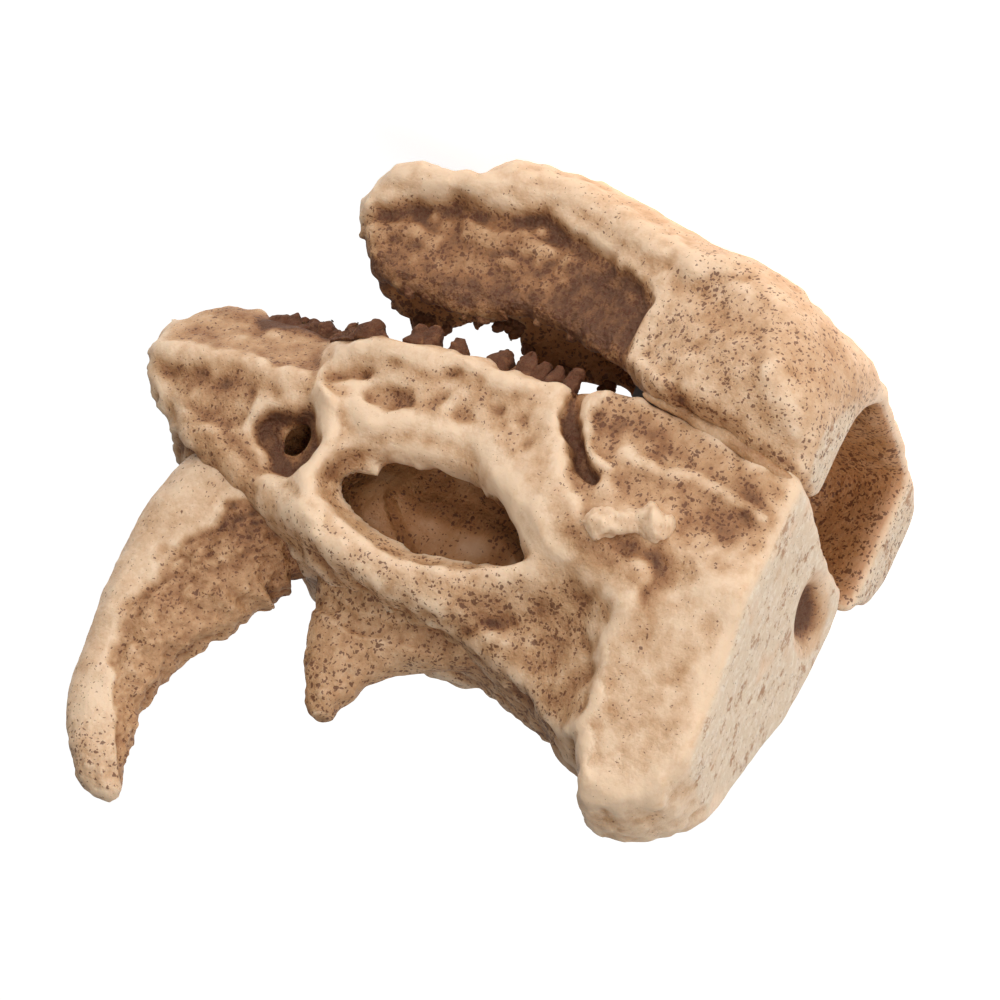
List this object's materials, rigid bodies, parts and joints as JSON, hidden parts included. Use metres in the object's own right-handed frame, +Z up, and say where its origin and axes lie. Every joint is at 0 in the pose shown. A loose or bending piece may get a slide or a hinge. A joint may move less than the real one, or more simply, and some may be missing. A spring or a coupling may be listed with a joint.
{
  "type": "skull-shaped bubbling ornament",
  "caption": "Hollow horned-beast skull ornament for an aquarium, cast in bone-coloured resin, with open mouth, bonded lower jaw and a removable air stone in the throat.",
  "frame": {"origin": "on the flat that the ornament stands on, in the skull's mid-plane, under the middle of its length", "axes": "+X along the snout, +Y to the animal's left, +Z up towards the horns"},
  "size_m": [0.098, 0.0588, 0.0996],
  "materials": {
    "bone_resin": "satin cream casting resin with a brown wash in the hollows and fine dark speckles",
    "horn_resin": "satin cream casting resin, brown-washed along the inner curve",
    "tooth_resin": "matte dark brown crust",
    "bond": "smooth tan bonding resin",
    "grommet_rubber": "matte black rubber",
    "stem_plastic": "clear-white moulded plastic",
    "air_stone_grit": "bonded grit, open pores"
  },
  "bodies": {
    "castings": {"skull_shell": "bone_resin", "lower_jaw": "bone_resin", "nose_horn": "horn_resin", "short_horn": "horn_resin", "glue_bead_right": "bond", "glue_bead_left": "bond", "cheek_knob_right": "bone_resin", "cheek_knob_left": "bone_resin", "upper_teeth_right": "tooth_resin", "upper_teeth_left": "tooth_resin", "lower_teeth_right": "tooth_resin", "lower_teeth_left": "tooth_resin"},
    "air_set": {"grommet": "grommet_rubber", "air_stem": "stem_plastic", "air_stone": "air_stone_grit"}
  },
  "joints": [
    {"name": "air_pull", "type": "slide", "parent": "castings", "child": "air_set", "axis": [-0.9784, 0, -0.2066], "range_m": [0, 0.042]}
  ]
}
